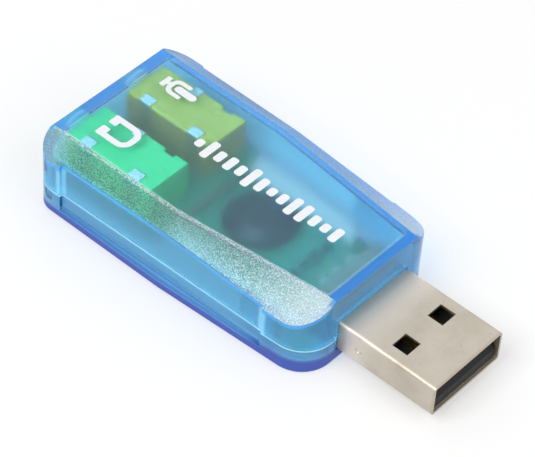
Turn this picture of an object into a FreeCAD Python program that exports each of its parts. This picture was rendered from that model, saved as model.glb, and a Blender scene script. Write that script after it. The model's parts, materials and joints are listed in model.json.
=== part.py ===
"""USB sound card: a clear two-part case around a board with a USB plug and two 3.5 mm sockets.

Millimetres. +X runs along the stick to the tip of the plug, +Z is up, and the origin lies under the
middle of the overall length, on the flat bottom of the case. The headphone socket is on the -Y side.
"""
import FreeCAD, Part
import os
import re

import Sketcher
from FreeCAD import Rotation, Vector

os.makedirs("parts", exist_ok=True)

SIZES = {
    # Case
    "case_length": 42.0,
    "case_width": 24.6,
    "case_taper": 1.1,
    "case_bend": 20.0,
    "wall": 1.4,
    "joint_gap": 0.06,
    "jack_corner_radius": 2.5,
    "front_corner_radius": 4.4,
    "bevel_width": 3.05,
    "front_bevel_width": 4.25,
    "bevel_angle": 36.0,
    "top_edge_radius": 0.3,
    "bottom_edge_radius": 0.6,
    "recess_start": 4.2,
    "recess_stop": 6.8,
    "recess_depth": 0.45,
    "recess_front_depth": 0.3,
    "lip_height": 1.5,
    "tab_length": 5.4,
    "tab_thickness": 0.8,
    "tab_reach": 2.6,
    "tab_clearance": 0.1,
    "tab_setback": 8.0,
    "rib_thickness": 1.0,
    "rib_inset": 1.2,
    "crystal_rib_gap": 1.5,
    "seat_clearance": 0.05,
    # USB plug
    "plug_reach": 13.9,
    "plug_width": 12.0,
    "plug_height": 4.5,
    "plug_length": 18.75,
    "plug_sheet": 0.3,
    "plug_edge_radius": 0.5,
    "plug_clearance": 0.1,
    "plug_floor_clearance": 0.5,
    "window_length": 2.2,
    "window_width": 2.4,
    "window_spacing": 6.2,
    "window_setback": 6.5,
    "seam_width": 0.12,
    "dimple_radius": 0.45,
    "dimple_depth": 0.14,
    "dimple_setback": 10.85,
    "shell_tail_length": 3.0,
    "shell_tail_height": 2.2,
    "insulator_length": 6.7,
    "insulator_clearance": 0.05,
    "tongue_setback": 0.4,
    "tongue_chamfer": 0.5,
    "contact_width": 1.0,
    "contact_thickness": 0.25,
    "contact_proud": 0.15,
    "contact_clearance": 0.03,
    "power_contact_spacing": 7.0,
    "data_contact_spacing": 2.0,
    "power_contact_setback": 1.6,
    "data_contact_setback": 2.6,
    "contact_tail": 2.2,
    # Board
    "board_thickness": 1.2,
    "board_shoulder": 16.8,
    "board_end_clearance": 0.4,
    "board_side_clearance": 1.0,
    "neck_clearance": 0.1,
    "board_plug_clearance": 0.25,
    "board_corner_radius": 0.8,
    "pin_hole_radius": 0.55,
    # Jack sockets
    "jack_board_inset": 0.8,
    "jack_length": 13.4,
    "jack_width": 6.4,
    "jack_height": 5.0,
    "jack_edge_radius": 0.3,
    "jack_end_clearance": 0.1,
    "jack_top_clearance": 0.425,
    "jack_bore_radius": 1.8,
    "jack_back_wall": 0.7,
    "jack_notch_length": 1.6,
    "jack_notch_depth": 0.7,
    "jack_notch_setback": 1.9,
    "nose_inset": 0.15,
    "nose_clearance": 0.1,
    "nose_rim_clearance": 0.075,
    "nose_chamfer": 0.3,
    "sleeve_setback": 4.4,
    "ring_setback": 7.5,
    "tip_setback": 12.1,
    "spring_width": 1.7,
    "ring_spring_width": 1.2,
    "spring_thickness": 0.25,
    "spring_proud": 0.2,
    "spring_clearance": 0.05,
    "spring_depth": 2.9,
    "pin_width": 0.7,
    "pin_reach": 0.7,
    # Chip, crystal and small parts on the board
    "dome_radius": 3.7,
    "dome_height": 1.6,
    "dome_share": 0.4257,
    "dome_offset": 0.9,
    "crystal_length": 5.0,
    "crystal_width": 3.2,
    "crystal_height": 1.1,
    "crystal_radius": 0.35,
    "crystal_setback": 27.0,
    "chip_length": 1.6,
    "chip_width": 0.8,
    "capacitor_height": 0.8,
    "resistor_height": 0.45,
    "chip_cap_length": 0.3,
    "chip_cap_proud": 0.03,
    "chip_row_pitch": 1.9,
    "plug_row_gap": 2.0,
    "jack_row_gap": 3.0,
}

PLACES = {
    # Along the stick
    "jack_end": "-(case_length + plug_reach) / 2",
    "front_end": "jack_end + case_length",
    "plug_tip": "front_end + plug_reach",
    "plug_back": "plug_tip - plug_length",
    "bend": "jack_end + case_bend",
    "recess_back": "jack_end + recess_start",
    "recess_front": "front_end - recess_stop",
    "tab_place": "front_end - tab_setback",
    "jack_face": "jack_end + wall + jack_end_clearance",
    "jack_back": "jack_face + jack_length",
    "nose_face": "jack_end + nose_inset",
    "board_back": "jack_end + wall + board_end_clearance",
    "shoulder": "jack_end + board_shoulder",
    "board_front": "plug_back - board_plug_clearance",
    "contact_back": "board_front - contact_tail",
    "plug_row": "contact_back - plug_row_gap",
    "jack_row": "jack_back + jack_row_gap",
    "dome_place": "jack_row + (plug_row - jack_row) * dome_share",
    "crystal_place": "jack_end + crystal_setback",
    "jack_rib": "jack_end + (ring_setback + tip_setback) / 2",
    "neck_rib": "crystal_place + crystal_length / 2 + crystal_rib_gap + rib_thickness / 2",
    "tongue_tip": "plug_tip - tongue_setback",
    "insulator_front": "plug_back + insulator_length",
    # Across the stick
    "half_width": "case_width / 2",
    "front_half_width": "half_width - case_taper",
    "half_top": "half_width - bevel_width",
    "half_front_top": "front_half_width - front_bevel_width",
    "width_loss": "(half_width - front_half_width) / (front_end - bend)",
    "top_loss": "(half_top - half_front_top) / (front_end - bend)",
    "recess_half": "half_width - recess_depth",
    "recess_front_half": "half_width - width_loss * (recess_front - bend) - recess_front_depth",
    "tab_outside": "half_width - wall - tab_clearance",
    "half_board": "tab_outside - tab_thickness - board_side_clearance",
    "half_plug": "plug_width / 2",
    "half_neck": "half_plug - plug_sheet - neck_clearance",
    "half_jack": "jack_width / 2",
    "jack_offset": "half_board - half_jack - jack_board_inset",
    # Up from the bottom
    "plug_axis_height": "wall + plug_floor_clearance + plug_height / 2",
    "plug_bottom": "plug_axis_height - plug_height / 2",
    "plug_top": "plug_axis_height + plug_height / 2",
    "tongue_top": "plug_axis_height - contact_proud / 2",
    "contact_top": "tongue_top + contact_proud",
    "contact_bottom": "contact_top - contact_thickness",
    "board_top": "contact_bottom",
    "board_bottom": "board_top - board_thickness",
    "jack_top": "board_top + jack_height",
    "jack_axis": "board_top + jack_height / 2",
    "nose_radius": "jack_height / 2",
    "ceiling": "jack_top + jack_top_clearance",
    "case_height": "ceiling + wall",
    "parting_height": "jack_axis - nose_radius - nose_clearance - nose_rim_clearance",
    "upper_bottom": "parting_height + joint_gap",
    "bevel_drop": "case_height - upper_bottom",
    "bevel_run": "bevel_drop / tan(bevel_angle * 1 deg)",
    # Edges and roundings
    "recess_edge_radius": "recess_front_depth / 3",
    "parting_chamfer": "recess_front_depth / 4",
    "dome_sphere": "(dome_radius * dome_radius + dome_height * dome_height) / (2 * dome_height)",
}

doc = FreeCAD.newDocument("usb_sound_card")
sheet = doc.addObject("Spreadsheet::Sheet", "Sizes")
for row, (alias, size) in enumerate(SIZES.items(), start=1):
    sheet.set(f"A{row}", alias)
    sheet.set(f"B{row}", str(size))
    sheet.setAlias(f"B{row}", alias)
doc.recompute()

# How far a cut runs past the faces that it opens
PAST = "1"
WORD = re.compile(r"[a-z_]+")


def formula(text):
    """Writes a formula in the words above as one on the sheet's cells."""
    def cell(match):
        word = match.group()
        if word in PLACES:
            return f"({formula(PLACES[word])})"
        return f"Sizes.{word}" if word in SIZES else word
    return WORD.sub(cell, text)


def value(text):
    """The number that a formula gives."""
    result = sheet.evalExpression(formula(text))
    return float(getattr(result, "Value", result))


def bind(item, **properties):
    """Ties properties to formulas; a double underscore stands for a dot."""
    for name, text in properties.items():
        item.setExpression(name.replace("__", "."), formula(text))


def new_body(label):
    body = doc.addObject("PartDesign::Body", label)
    body.Label = label
    return body


def new_sketch(body, plane, level):
    """An empty sketch on one of the body's own planes, moved along the plane's normal."""
    sketch = body.newObject("Sketcher::SketchObject", f"{body.Name}_sketch")
    support = next(item for item in body.Origin.OriginFeatures if item.Role == f"{plane}_Plane")
    sketch.AttachmentSupport = [(support, "")]
    sketch.MapMode = "FlatFace"
    bind(sketch, AttachmentOffset__Base__z=level)
    return sketch


def tie_point(sketch, item, end, point):
    """Holds one end of a line, or the centre of a circle, at a bound distance from the origin."""
    for kind, text in zip(("DistanceX", "DistanceY"), point):
        index = sketch.addConstraint(Sketcher.Constraint(kind, -1, 1, item, end, value(text)))
        sketch.setExpression(f"Constraints[{index}]", formula(text))


def polygon(body, plane, level, points):
    """A closed outline with each corner bound to the sheet."""
    sketch = new_sketch(body, plane, level)
    corners = [Vector(value(x), value(y), 0) for x, y in points]
    for start, end in zip(corners, corners[1:] + corners[:1]):
        sketch.addGeometry(Part.LineSegment(start, end), False)
    for index in range(len(points)):
        after = (index + 1) % len(points)
        sketch.addConstraint(Sketcher.Constraint("Coincident", index, 2, after, 1))
    for index, point in enumerate(points):
        tie_point(sketch, index, 1, point)
    return sketch


def rectangle(body, plane, level, low, high):
    return polygon(body, plane, level, [low, (high[0], low[1]), high, (low[0], high[1])])


def circles(body, plane, level, centres, radius):
    """Circles of one bound radius."""
    sketch = new_sketch(body, plane, level)
    for index, (x, y) in enumerate(centres):
        middle = Vector(value(x), value(y), 0)
        sketch.addGeometry(Part.Circle(middle, Vector(0, 0, 1), value(radius)), False)
        tie_point(sketch, index, 3, (x, y))
        number = sketch.addConstraint(Sketcher.Constraint("Radius", index, value(radius)))
        sketch.setExpression(f"Constraints[{number}]", formula(radius))
    return sketch


def pad(body, sketch, length):
    feature = body.newObject("PartDesign::Pad", f"{body.Name}_pad")
    feature.Profile = sketch
    bind(feature, Length=length)
    doc.recompute()
    return feature


def pocket(body, sketch, length):
    """Cuts along the plane's normal and makes sure that something was cut."""
    before = body.Shape.Volume
    feature = body.newObject("PartDesign::Pocket", f"{body.Name}_pocket")
    feature.Profile = sketch
    feature.Reversed = True
    bind(feature, Length=length)
    doc.recompute()
    if not feature.Shape.Volume < before:
        raise RuntimeError(f"a pocket in {body.Label} cuts nothing")
    return feature


def edge_names(feature, wanted):
    return [f"Edge{number}" for number, edge in enumerate(feature.Shape.Edges, 1) if wanted(edge)]


def face_names(feature, wanted):
    return [f"Face{number}" for number, face in enumerate(feature.Shape.Faces, 1) if wanted(face)]


def rounded(body, radius, wanted, kind="Fillet"):
    """Fillets or chamfers the edges of the body that a test picks."""
    base = body.Tip
    feature = body.newObject(f"PartDesign::{kind}", f"{body.Name}_{kind.lower()}")
    feature.Base = (base, edge_names(base, wanted))
    bind(feature, **{"Radius" if kind == "Fillet" else "Size": radius})
    doc.recompute()
    return feature


def hollowed(body, thickness, opened):
    """Leaves a wall of one thickness behind the outer faces, open at the faces that a test picks."""
    base = body.Tip
    feature = body.newObject("PartDesign::Thickness", f"{body.Name}_wall")
    feature.Base = (base, face_names(base, opened))
    feature.Mode = "Skin"
    feature.Join = "Intersection"
    feature.Reversed = True
    bind(feature, Value=thickness)
    doc.recompute()
    return feature


# The tests below pick edges and faces by where they lie.
NEAR = 1e-4


def close(a, b):
    return abs(a - b) < NEAR


def is_vertical(edge):
    box = edge.BoundBox
    return close(box.XLength, 0) and close(box.YLength, 0)


def runs_along_x(edge):
    box = edge.BoundBox
    return close(box.YLength, 0) and close(box.ZLength, 0)


def lies_at_z(item, height):
    return close(item.BoundBox.ZMin, height) and close(item.BoundBox.ZMax, height)


def lies_at_x(item, place):
    return close(item.BoundBox.XMin, place) and close(item.BoundBox.XMax, place)


def case_block(label, inset, low, high):
    """The case from above, drawn in by an inset: straight from the jack end, then narrower to the plug."""
    body = new_body(label)
    side, front_side = f"half_width - {inset}", f"front_half_width - {inset}"
    back, front = f"jack_end + {inset}", f"front_end - {inset}"
    outline = polygon(body, "XY", low, [
        (back, f"-({side})"), ("bend", f"-({side})"), (front, f"-({front_side})"),
        (front, front_side), ("bend", side), (back, side)])
    pad(body, outline, f"{high} - ({low})")
    for place, radius in ((back, "jack_corner_radius"), (front, "front_corner_radius")):
        x = value(place)
        rounded(body, f"{radius} - {inset}", lambda edge: is_vertical(edge) and close(edge.BoundBox.XMin, x))
    return body


def cut_bevels(body, inset):
    """Two sloping planes that leave a flat top, which narrows from the bend to the plug."""
    top = f"case_height - {inset}"
    inward = f"{inset} * tan(bevel_angle / 2 * 1 deg)"
    for side in ("-", ""):
        def wedge(place, half):
            edge, foot = f"{side}({half} - {inward})", f"{side}({half} - {inward} + bevel_run)"
            return polygon(body, "YZ", place, [
                (edge, top), (foot, f"{top} - bevel_drop"),
                (foot, f"{top} + {PAST}"), (edge, f"{top} + {PAST}")])
        before = body.Shape.Volume
        bevel = body.newObject("PartDesign::SubtractiveLoft", f"{body.Name}_bevel")
        bevel.Profile = wedge(f"jack_end - {PAST}", "half_top")
        bevel.Sections = [wedge("bend", "half_top"),
                          wedge(f"front_end + {PAST}", f"half_front_top - top_loss * {PAST}")]
        bevel.Ruled = True
        doc.recompute()
        if not body.Shape.Volume < before:
            raise RuntimeError("a bevel cuts nothing")


def take_out(body, room):
    """Cuts the shape of another body out of this one."""
    cut = body.newObject("PartDesign::Boolean", f"{body.Name}_room_cut")
    cut.Type = "Cut"
    cut.addObjects([room])
    doc.recompute()


def cut_finger_recesses(body, level, height):
    """A shallow straight recess in each side, between the jack end and the plug end."""
    for side in ("-", ""):
        sketch = polygon(body, "XY", level, [
            ("recess_back", f"{side}recess_half"), ("recess_front", f"{side}recess_front_half"),
            ("recess_front", f"{side}(half_width + {PAST})"),
            ("recess_back", f"{side}(half_width + {PAST})")])
        pocket(body, sketch, height)


def round_recess_ends(body):
    places = value("recess_back"), value("recess_front")
    rounded(body, "recess_edge_radius",
            lambda edge: is_vertical(edge) and any(close(edge.BoundBox.XMin, x) for x in places))


def break_rim(body, level):
    """A small chamfer on the outer edge of the rim, which draws a line where the two shells meet."""
    rim = next(face for face in body.Tip.Shape.Faces if lies_at_z(face, value(level)))
    outer = rim.OuterWire.Edges
    rounded(body, "parting_chamfer", lambda edge: any(edge.isSame(side) for side in outer), "Chamfer")


def cut_plug_opening(body):
    gap = "plug_clearance"
    sketch = rectangle(body, "YZ", f"front_end - wall - {PAST}",
                       (f"-half_plug - {gap}", f"plug_bottom - {gap}"),
                       (f"half_plug + {gap}", f"plug_top + {gap}"))
    pocket(body, sketch, f"wall + 2 * {PAST}")


def make_upper_case():
    """Upper shell: a flat top, and two bevels that widen from the bend to the plug."""
    body = case_block("upper_case", "0", "upper_bottom", "case_height")
    top = value("case_height")
    rounded(body, "top_edge_radius", lambda edge: lies_at_z(edge, top))
    cut_bevels(body, "0")
    room = case_block("upper_room", "wall", f"upper_bottom - {PAST}", "ceiling")
    cut_bevels(room, "wall")
    take_out(body, room)
    cut_finger_recesses(body, "upper_bottom", "case_height")
    round_recess_ends(body)
    break_rim(body, "upper_bottom")
    cut_plug_opening(body)
    for side in ("-", ""):
        start = f"jack_end - {PAST}"
        depth = f"wall + 2 * {PAST}"
        centre = f"{side}jack_offset"
        hole = "(nose_radius + nose_clearance)"
        pocket(body, circles(body, "YZ", start, [(centre, "jack_axis")], hole), depth)
        pocket(body, rectangle(body, "YZ", start, (f"{centre} - {hole}", f"upper_bottom - {PAST}"),
                               (f"{centre} + {hole}", "jack_axis")), depth)
    return body


def make_lower_case():
    """Lower shell: a tray with ribs under the board and two tabs that stand up inside the upper shell."""
    body = case_block("lower_case", "0", "0", "parting_height")
    rounded(body, "bottom_edge_radius", lambda edge: lies_at_z(edge, 0))
    take_out(body, case_block("lower_room", "wall", "wall", f"parting_height + {PAST}"))
    cut_finger_recesses(body, "lip_height", "parting_height")
    round_recess_ends(body)
    break_rim(body, "parting_height")
    cut_plug_opening(body)
    root = "wall / 2"
    for place, half in (("jack_rib", "half_board"), ("neck_rib", "half_neck")):
        pad(body, rectangle(body, "XY", root, (f"{place} - rib_thickness / 2", f"rib_inset - {half}"),
                            (f"{place} + rib_thickness / 2", f"{half} - rib_inset")),
            f"board_bottom - seat_clearance - ({root})")
    tab_start, tab_stop = "tab_place - tab_length / 2", "tab_place + tab_length / 2"
    outside = f"tab_outside - width_loss * ({tab_stop} - bend)"
    for side in ("-", ""):
        pad(body, rectangle(body, "XY", root, (tab_start, f"{side}({outside} - tab_thickness)"),
                            (tab_stop, f"{side}({outside})")),
            f"parting_height + tab_reach - ({root})")
    return body


# Spring contacts of a socket: (distance from the jack end, width) and the side of the bore
SPRINGS = {
    "sleeve": (("sleeve_setback", "spring_width"), "-"),
    "ring": (("ring_setback", "ring_spring_width"), "+"),
    "tip": (("tip_setback", "spring_width"), "-"),
}


def make_board():
    """Circuit board: wide under the sockets, and a neck that reaches the plug between the shell's tails."""
    body = new_body("circuit_board")
    pad(body, polygon(body, "XY", "board_bottom", [
        ("board_back", "-half_board"), ("shoulder", "-half_board"), ("shoulder", "-half_neck"),
        ("board_front", "-half_neck"), ("board_front", "half_neck"), ("shoulder", "half_neck"),
        ("shoulder", "half_board"), ("board_back", "half_board")]), "board_thickness")
    rounded(body, "board_corner_radius", is_vertical)
    holes = []
    for jack_side in ("-", ""):
        for setback, pin_side in SPRINGS.values():
            holes.append((f"jack_end + {setback[0]}",
                          f"{jack_side}jack_offset {pin_side} (half_jack - spring_thickness / 2)"))
    pocket(body, circles(body, "XY", f"board_bottom - {PAST}", holes, "pin_hole_radius"),
           f"board_thickness + 2 * {PAST}")
    return body


def make_jack_housing(label, side):
    """Moulded socket: a block with a round nose, a blind bore and slots for the spring contacts."""
    body = new_body(label)
    bind(body, Placement__Base__y=f"{side}jack_offset")
    pad(body, rectangle(body, "XY", "board_top", ("jack_face", "-half_jack"), ("jack_back", "half_jack")),
        "jack_height")
    top = value("jack_top")
    rounded(body, "jack_edge_radius", lambda edge: runs_along_x(edge) and lies_at_z(edge, top))
    pad(body, circles(body, "YZ", "nose_face", [("0", "jack_axis")], "nose_radius"),
        "jack_face - nose_face + wall")
    nose = value("nose_face")
    rounded(body, "nose_chamfer", lambda edge: lies_at_x(edge, nose), "Chamfer")
    pocket(body, circles(body, "YZ", f"nose_face - {PAST}", [("0", "jack_axis")], "jack_bore_radius"),
           f"jack_back - jack_back_wall - nose_face + {PAST}")
    gap = "spring_clearance"
    for (setback, width), spring_side in SPRINGS.values():
        low = f"jack_end + {setback} - {width} / 2 - {gap}"
        high = f"jack_end + {setback} + {width} / 2 + {gap}"
        outer = f"{spring_side}(half_jack - spring_thickness - {gap})"
        outside = f"{spring_side}(half_jack + {PAST})"
        inner = f"{spring_side}(jack_bore_radius - {gap})"
        inside = f"{spring_side}(jack_bore_radius + spring_thickness + 2 * {gap})"
        pocket(body, rectangle(body, "XY", f"board_top - {PAST}", (low, outer), (high, outside)),
               f"jack_height + 2 * {PAST}")
        pocket(body, rectangle(body, "XY", f"jack_top - spring_depth - {gap}", (low, inner), (high, inside)),
               f"spring_depth + {gap} + {PAST}")
        pocket(body, rectangle(body, "XY", f"jack_top + spring_proud - spring_thickness - {gap}",
                               (low, inner), (high, outside)), f"spring_thickness + {PAST}")
    back = "jack_back - jack_notch_setback"
    pocket(body, rectangle(body, "XY", f"board_top - {PAST}",
                           (f"{back} - jack_notch_length", "half_jack - jack_notch_depth"),
                           (back, f"half_jack + {PAST}")), f"jack_height + 2 * {PAST}")
    return body


def make_spring(label, side, setback, width, spring_side):
    """Spring contact: one strip folded over the wall of the socket, with a pin through the board."""
    body = new_body(label)
    bind(body, Placement__Base__y=f"{side}jack_offset")
    sheet_top = "jack_top + spring_proud"
    leg_out = f"{spring_side}half_jack"
    leg_in = f"{spring_side}(half_jack - spring_thickness)"
    blade_in = f"{spring_side}(jack_bore_radius + spring_clearance)"
    blade_out = f"{spring_side}(jack_bore_radius + spring_clearance + spring_thickness)"
    under = f"{sheet_top} - spring_thickness"
    start = f"jack_end + {setback} - {width} / 2"
    pad(body, polygon(body, "YZ", start, [
        (leg_out, "board_top"), (leg_out, sheet_top), (blade_in, sheet_top),
        (blade_in, "jack_top - spring_depth"), (blade_out, "jack_top - spring_depth"), (blade_out, under),
        (leg_in, under), (leg_in, "board_top")]), width)
    rounded(body, "spring_thickness", lambda edge: runs_along_x(edge) and lies_at_z(edge, value(sheet_top)))
    pad(body, rectangle(body, "YZ", f"jack_end + {setback} - pin_width / 2",
                        (leg_in, "board_bottom - pin_reach"),
                        (leg_out, "board_top + spring_thickness")), "pin_width")
    return body


def make_usb_shell():
    """Plug shell: sheet steel folded into a tube, with latch windows, a seam below and tails for solder."""
    body = new_body("usb_shell")
    pad(body, rectangle(body, "YZ", "plug_back", ("-half_plug", "plug_bottom"), ("half_plug", "plug_top")),
        "plug_length")
    rounded(body, "plug_edge_radius", runs_along_x)
    hollowed(body, "plug_sheet", lambda face: close(face.BoundBox.XLength, 0))
    centre = "plug_tip - window_setback"
    for level in ("plug_bottom", "plug_top"):
        for side in ("-", ""):
            middle = f"{side}window_spacing / 2"
            pocket(body, rectangle(body, "XY", f"{level} - plug_sheet - {PAST} / 2",
                                   (f"{centre} - window_length / 2", f"{middle} - window_width / 2"),
                                   (f"{centre} + window_length / 2", f"{middle} + window_width / 2")),
                   f"2 * plug_sheet + {PAST}")
    pocket(body, rectangle(body, "XY", f"plug_bottom - {PAST}", (f"plug_back - {PAST}", "-seam_width / 2"),
                           (f"plug_tip + {PAST}", "seam_width / 2")), f"plug_sheet + {PAST} + seam_width")
    for side in ("-", ""):
        level = "-half_plug" if side == "" else "half_plug - dimple_depth"
        pocket(body, circles(body, "XZ", level, [("plug_tip - dimple_setback", "plug_axis_height")],
                             "dimple_radius"), "dimple_depth")
        pad(body, rectangle(body, "XY", "plug_axis_height - shell_tail_height / 2",
                            ("plug_back - shell_tail_length", f"{side}(half_plug - plug_sheet)"),
                            ("plug_back + plug_sheet", f"{side}half_plug")), "shell_tail_height")
    return body


# Contacts of the plug: distance of the tip from the plug's mouth, and place across the plug
CONTACTS = {
    "usb_power_contact": ("power_contact_setback", "power_contact_spacing / 2"),
    "usb_data_minus_contact": ("data_contact_setback", "data_contact_spacing / 2"),
    "usb_data_plus_contact": ("data_contact_setback", "-data_contact_spacing / 2"),
    "usb_ground_contact": ("power_contact_setback", "-power_contact_spacing / 2"),
}


def make_usb_insulator():
    """Black moulding: a body that fills the back of the shell and a tongue that carries the contacts."""
    body = new_body("usb_insulator")
    gap = "(plug_sheet + insulator_clearance)"
    pad(body, rectangle(body, "YZ", "plug_back", (f"{gap} - half_plug", f"plug_bottom + {gap}"),
                        (f"half_plug - {gap}", f"plug_top - {gap}")), "insulator_length")
    rounded(body, "plug_edge_radius", runs_along_x)
    inset = "(plug_edge_radius - plug_sheet)"
    pad(body, rectangle(body, "YZ", "insulator_front - wall",
                        (f"{gap} + {inset} - half_plug", f"plug_bottom + {gap}"),
                        (f"half_plug - {gap} - {inset}", "tongue_top")),
        "tongue_tip - insulator_front + wall")
    top, tip = value("tongue_top"), value("tongue_tip")
    rounded(body, "tongue_chamfer", lambda edge: lies_at_x(edge, tip) and lies_at_z(edge, top), "Chamfer")
    for setback, place in CONTACTS.values():
        half = "(contact_width / 2 + contact_clearance)"
        low, high = "contact_bottom - contact_clearance", "contact_top + contact_clearance"
        pocket(body, rectangle(body, "YZ", f"plug_back - {PAST}", (f"{place} - {half}", low),
                               (f"{place} + {half}", high)),
               f"plug_tip - {setback} + contact_clearance - plug_back + {PAST}")
    return body


def make_usb_contact(label, setback, place):
    """Plug contact: a flat strip along the tongue that ends as a solder tail on the board."""
    body = new_body(label)
    bind(body, Placement__Base__y=place)
    pad(body, rectangle(body, "XY", "contact_bottom", ("contact_back", "-contact_width / 2"),
                        (f"plug_tip - {setback}", "contact_width / 2")), "contact_thickness")
    tip, top = value(f"plug_tip - {setback}"), value("contact_top")
    rounded(body, "contact_thickness / 2", lambda edge: lies_at_x(edge, tip) and lies_at_z(edge, top))
    return body


def make_audio_chip():
    """Bare chip under a dome of black epoxy."""
    dome = doc.addObject("Part::Sphere", "audio_chip")
    dome.Label = "audio_chip"
    bind(dome, Radius="dome_sphere", Angle1="asin((dome_sphere - dome_height) / dome_sphere)",
         Placement__Base__x="dome_place", Placement__Base__y="dome_offset",
         Placement__Base__z="board_top - dome_sphere + dome_height")
    return dome


def make_crystal():
    """Timing crystal in a low metal can, under the board."""
    body = new_body("clock_crystal")
    bind(body, Placement__Base__x="crystal_place",
         Placement__Base__z="board_bottom - crystal_height")
    pad(body, rectangle(body, "XY", "0", ("-crystal_length / 2", "-crystal_width / 2"),
                        ("crystal_length / 2", "crystal_width / 2")), "crystal_height")
    rounded(body, "crystal_radius", is_vertical)
    return body


def make_chip_part(label, height, x, y, turn):
    """Small part with a metal cap at each end."""
    body = new_body(label)
    body.Placement.Rotation = Rotation(Vector(0, 0, 1), turn)
    bind(body, Placement__Base__x=x, Placement__Base__y=y, Placement__Base__z="board_top")
    end = "(chip_length - chip_cap_length) / 2"
    pad(body, rectangle(body, "XY", "chip_cap_proud", (f"-{end}", "-chip_width / 2"),
                        (end, "chip_width / 2")), f"{height} - chip_cap_proud")
    half = "chip_width / 2 + chip_cap_proud"
    for low, high in (("-chip_length / 2", "chip_cap_length - chip_length / 2"),
                      ("chip_length / 2 - chip_cap_length", "chip_length / 2")):
        pad(body, rectangle(body, "XY", "0", (low, f"-({half})"), (high, half)),
            f"{height} + chip_cap_proud")
    return body


# Rows of small parts: how many, their height, where along the stick, and how far each is turned in degrees
RESISTOR_COUNT = 4
CAPACITOR_COUNT = 6
QUARTER_TURN_ANGLE = 90
CHIP_ROWS = {
    "chip_resistor": (RESISTOR_COUNT, "resistor_height", "plug_row", 0),
    "chip_capacitor": (CAPACITOR_COUNT, "capacitor_height", "jack_row", QUARTER_TURN_ANGLE),
}


def make_small_parts():
    """One row between the chip and the plug, and one between the sockets and the chip."""
    parts = []
    for name, (count, height, place, turn) in CHIP_ROWS.items():
        for number in range(1, count + 1):
            across = f"({number} - {(count + 1) / 2}) * chip_row_pitch"
            parts.append(make_chip_part(f"{name}_{number}", height, place, across, turn))
    return parts


def make_sound_card():
    pieces = [make_upper_case(), make_lower_case(), make_board()]
    for name, side in (("headphone_jack", "-"), ("microphone_jack", "")):
        pieces.append(make_jack_housing(f"{name}_housing", side))
        for spring, ((setback, width), spring_side) in SPRINGS.items():
            pieces.append(make_spring(f"{name}_{spring}_contact", side, setback, width, spring_side))
    pieces += [make_usb_shell(), make_usb_insulator()]
    for label, (setback, place) in CONTACTS.items():
        pieces.append(make_usb_contact(label, setback, place))
    pieces += [make_audio_chip(), make_crystal()]
    return pieces + make_small_parts()


def check(pieces):
    """Stops if any object of the document failed or any piece isn't one or more valid solids."""
    for item in doc.Objects:
        if {"Invalid", "Error"} & set(item.State):
            raise RuntimeError(f"{item.Label} failed: {item.State}")
    for piece in pieces:
        if piece.Shape.isNull() or not piece.Shape.isValid() or not piece.Shape.Solids:
            raise RuntimeError(f"{piece.Label} is not a valid solid")


pieces = make_sound_card()
doc.recompute()
check(pieces)
for piece in pieces:
    piece.Shape.exportStep(f"parts/{piece.Label}.step")
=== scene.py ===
"""Looks of the USB sound card: the clear case, the pieces that show through it, the print and the solder.

Metres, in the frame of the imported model: +X runs to the tip of the plug, +Z is up, and the headphone
socket is on the -Y side. Finishes read their place in millimetres.
"""
import json
import math

import bmesh
import bpy
from mathutils import Matrix, Vector


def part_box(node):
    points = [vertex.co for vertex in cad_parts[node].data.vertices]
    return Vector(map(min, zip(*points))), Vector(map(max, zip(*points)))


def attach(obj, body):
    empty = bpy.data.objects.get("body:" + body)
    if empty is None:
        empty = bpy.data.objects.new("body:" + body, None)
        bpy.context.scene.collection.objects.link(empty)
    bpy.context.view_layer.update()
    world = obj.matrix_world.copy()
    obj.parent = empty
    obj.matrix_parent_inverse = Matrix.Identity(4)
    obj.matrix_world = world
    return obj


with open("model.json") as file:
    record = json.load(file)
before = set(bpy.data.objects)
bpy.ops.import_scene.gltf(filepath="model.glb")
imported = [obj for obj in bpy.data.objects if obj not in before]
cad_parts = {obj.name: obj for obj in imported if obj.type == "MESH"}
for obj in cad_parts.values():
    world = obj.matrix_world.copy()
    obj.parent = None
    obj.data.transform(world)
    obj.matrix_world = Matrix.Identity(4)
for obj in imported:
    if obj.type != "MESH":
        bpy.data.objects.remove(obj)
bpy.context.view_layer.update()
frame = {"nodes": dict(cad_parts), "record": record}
scene = bpy.context.scene

MM = 0.001

# The outer faces of the case, in millimetres
TOP = 10.8
HALF_TOP = 9.25
HALF_FRONT_TOP = 6.95
HALF_WIDTH = 12.3
HALF_FRONT_WIDTH = 11.2
JACK_END = -27.95
BEND = -7.95
FRONT_END = 14.05
RECESS_ENDS = (-23.75, 7.25)
WALL = 1.4
JACK_CORNER = 2.5
FRONT_CORNER = 4.4
PARTING = 3.83
LIP_HEIGHT = 1.5
BEVEL_ANGLE = math.radians(36.0)
TOP_LOSS = (HALF_TOP - HALF_FRONT_TOP) / (FRONT_END - BEND)
WIDTH_LOSS = (HALF_WIDTH - HALF_FRONT_WIDTH) / (FRONT_END - BEND)

# White print, in millimetres
INK_THICKNESS = 0.02
INK_SUNK = 0.005

# Board, sockets, plug and small parts, in millimetres
BOARD_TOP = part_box("circuit_board")[1].z / MM
BOARD_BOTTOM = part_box("circuit_board")[0].z / MM
JACK_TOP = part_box("headphone_jack_housing")[1].z / MM
PLUG_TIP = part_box("usb_shell")[1].x / MM
PLUG_AXIS = 4.15
PLUG_HALF_WIDTH = 6.0
PLUG_HALF_HEIGHT = 2.25
CHIP_ROW_PITCH = 1.9
CHIP_CAP_START = 0.5


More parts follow.
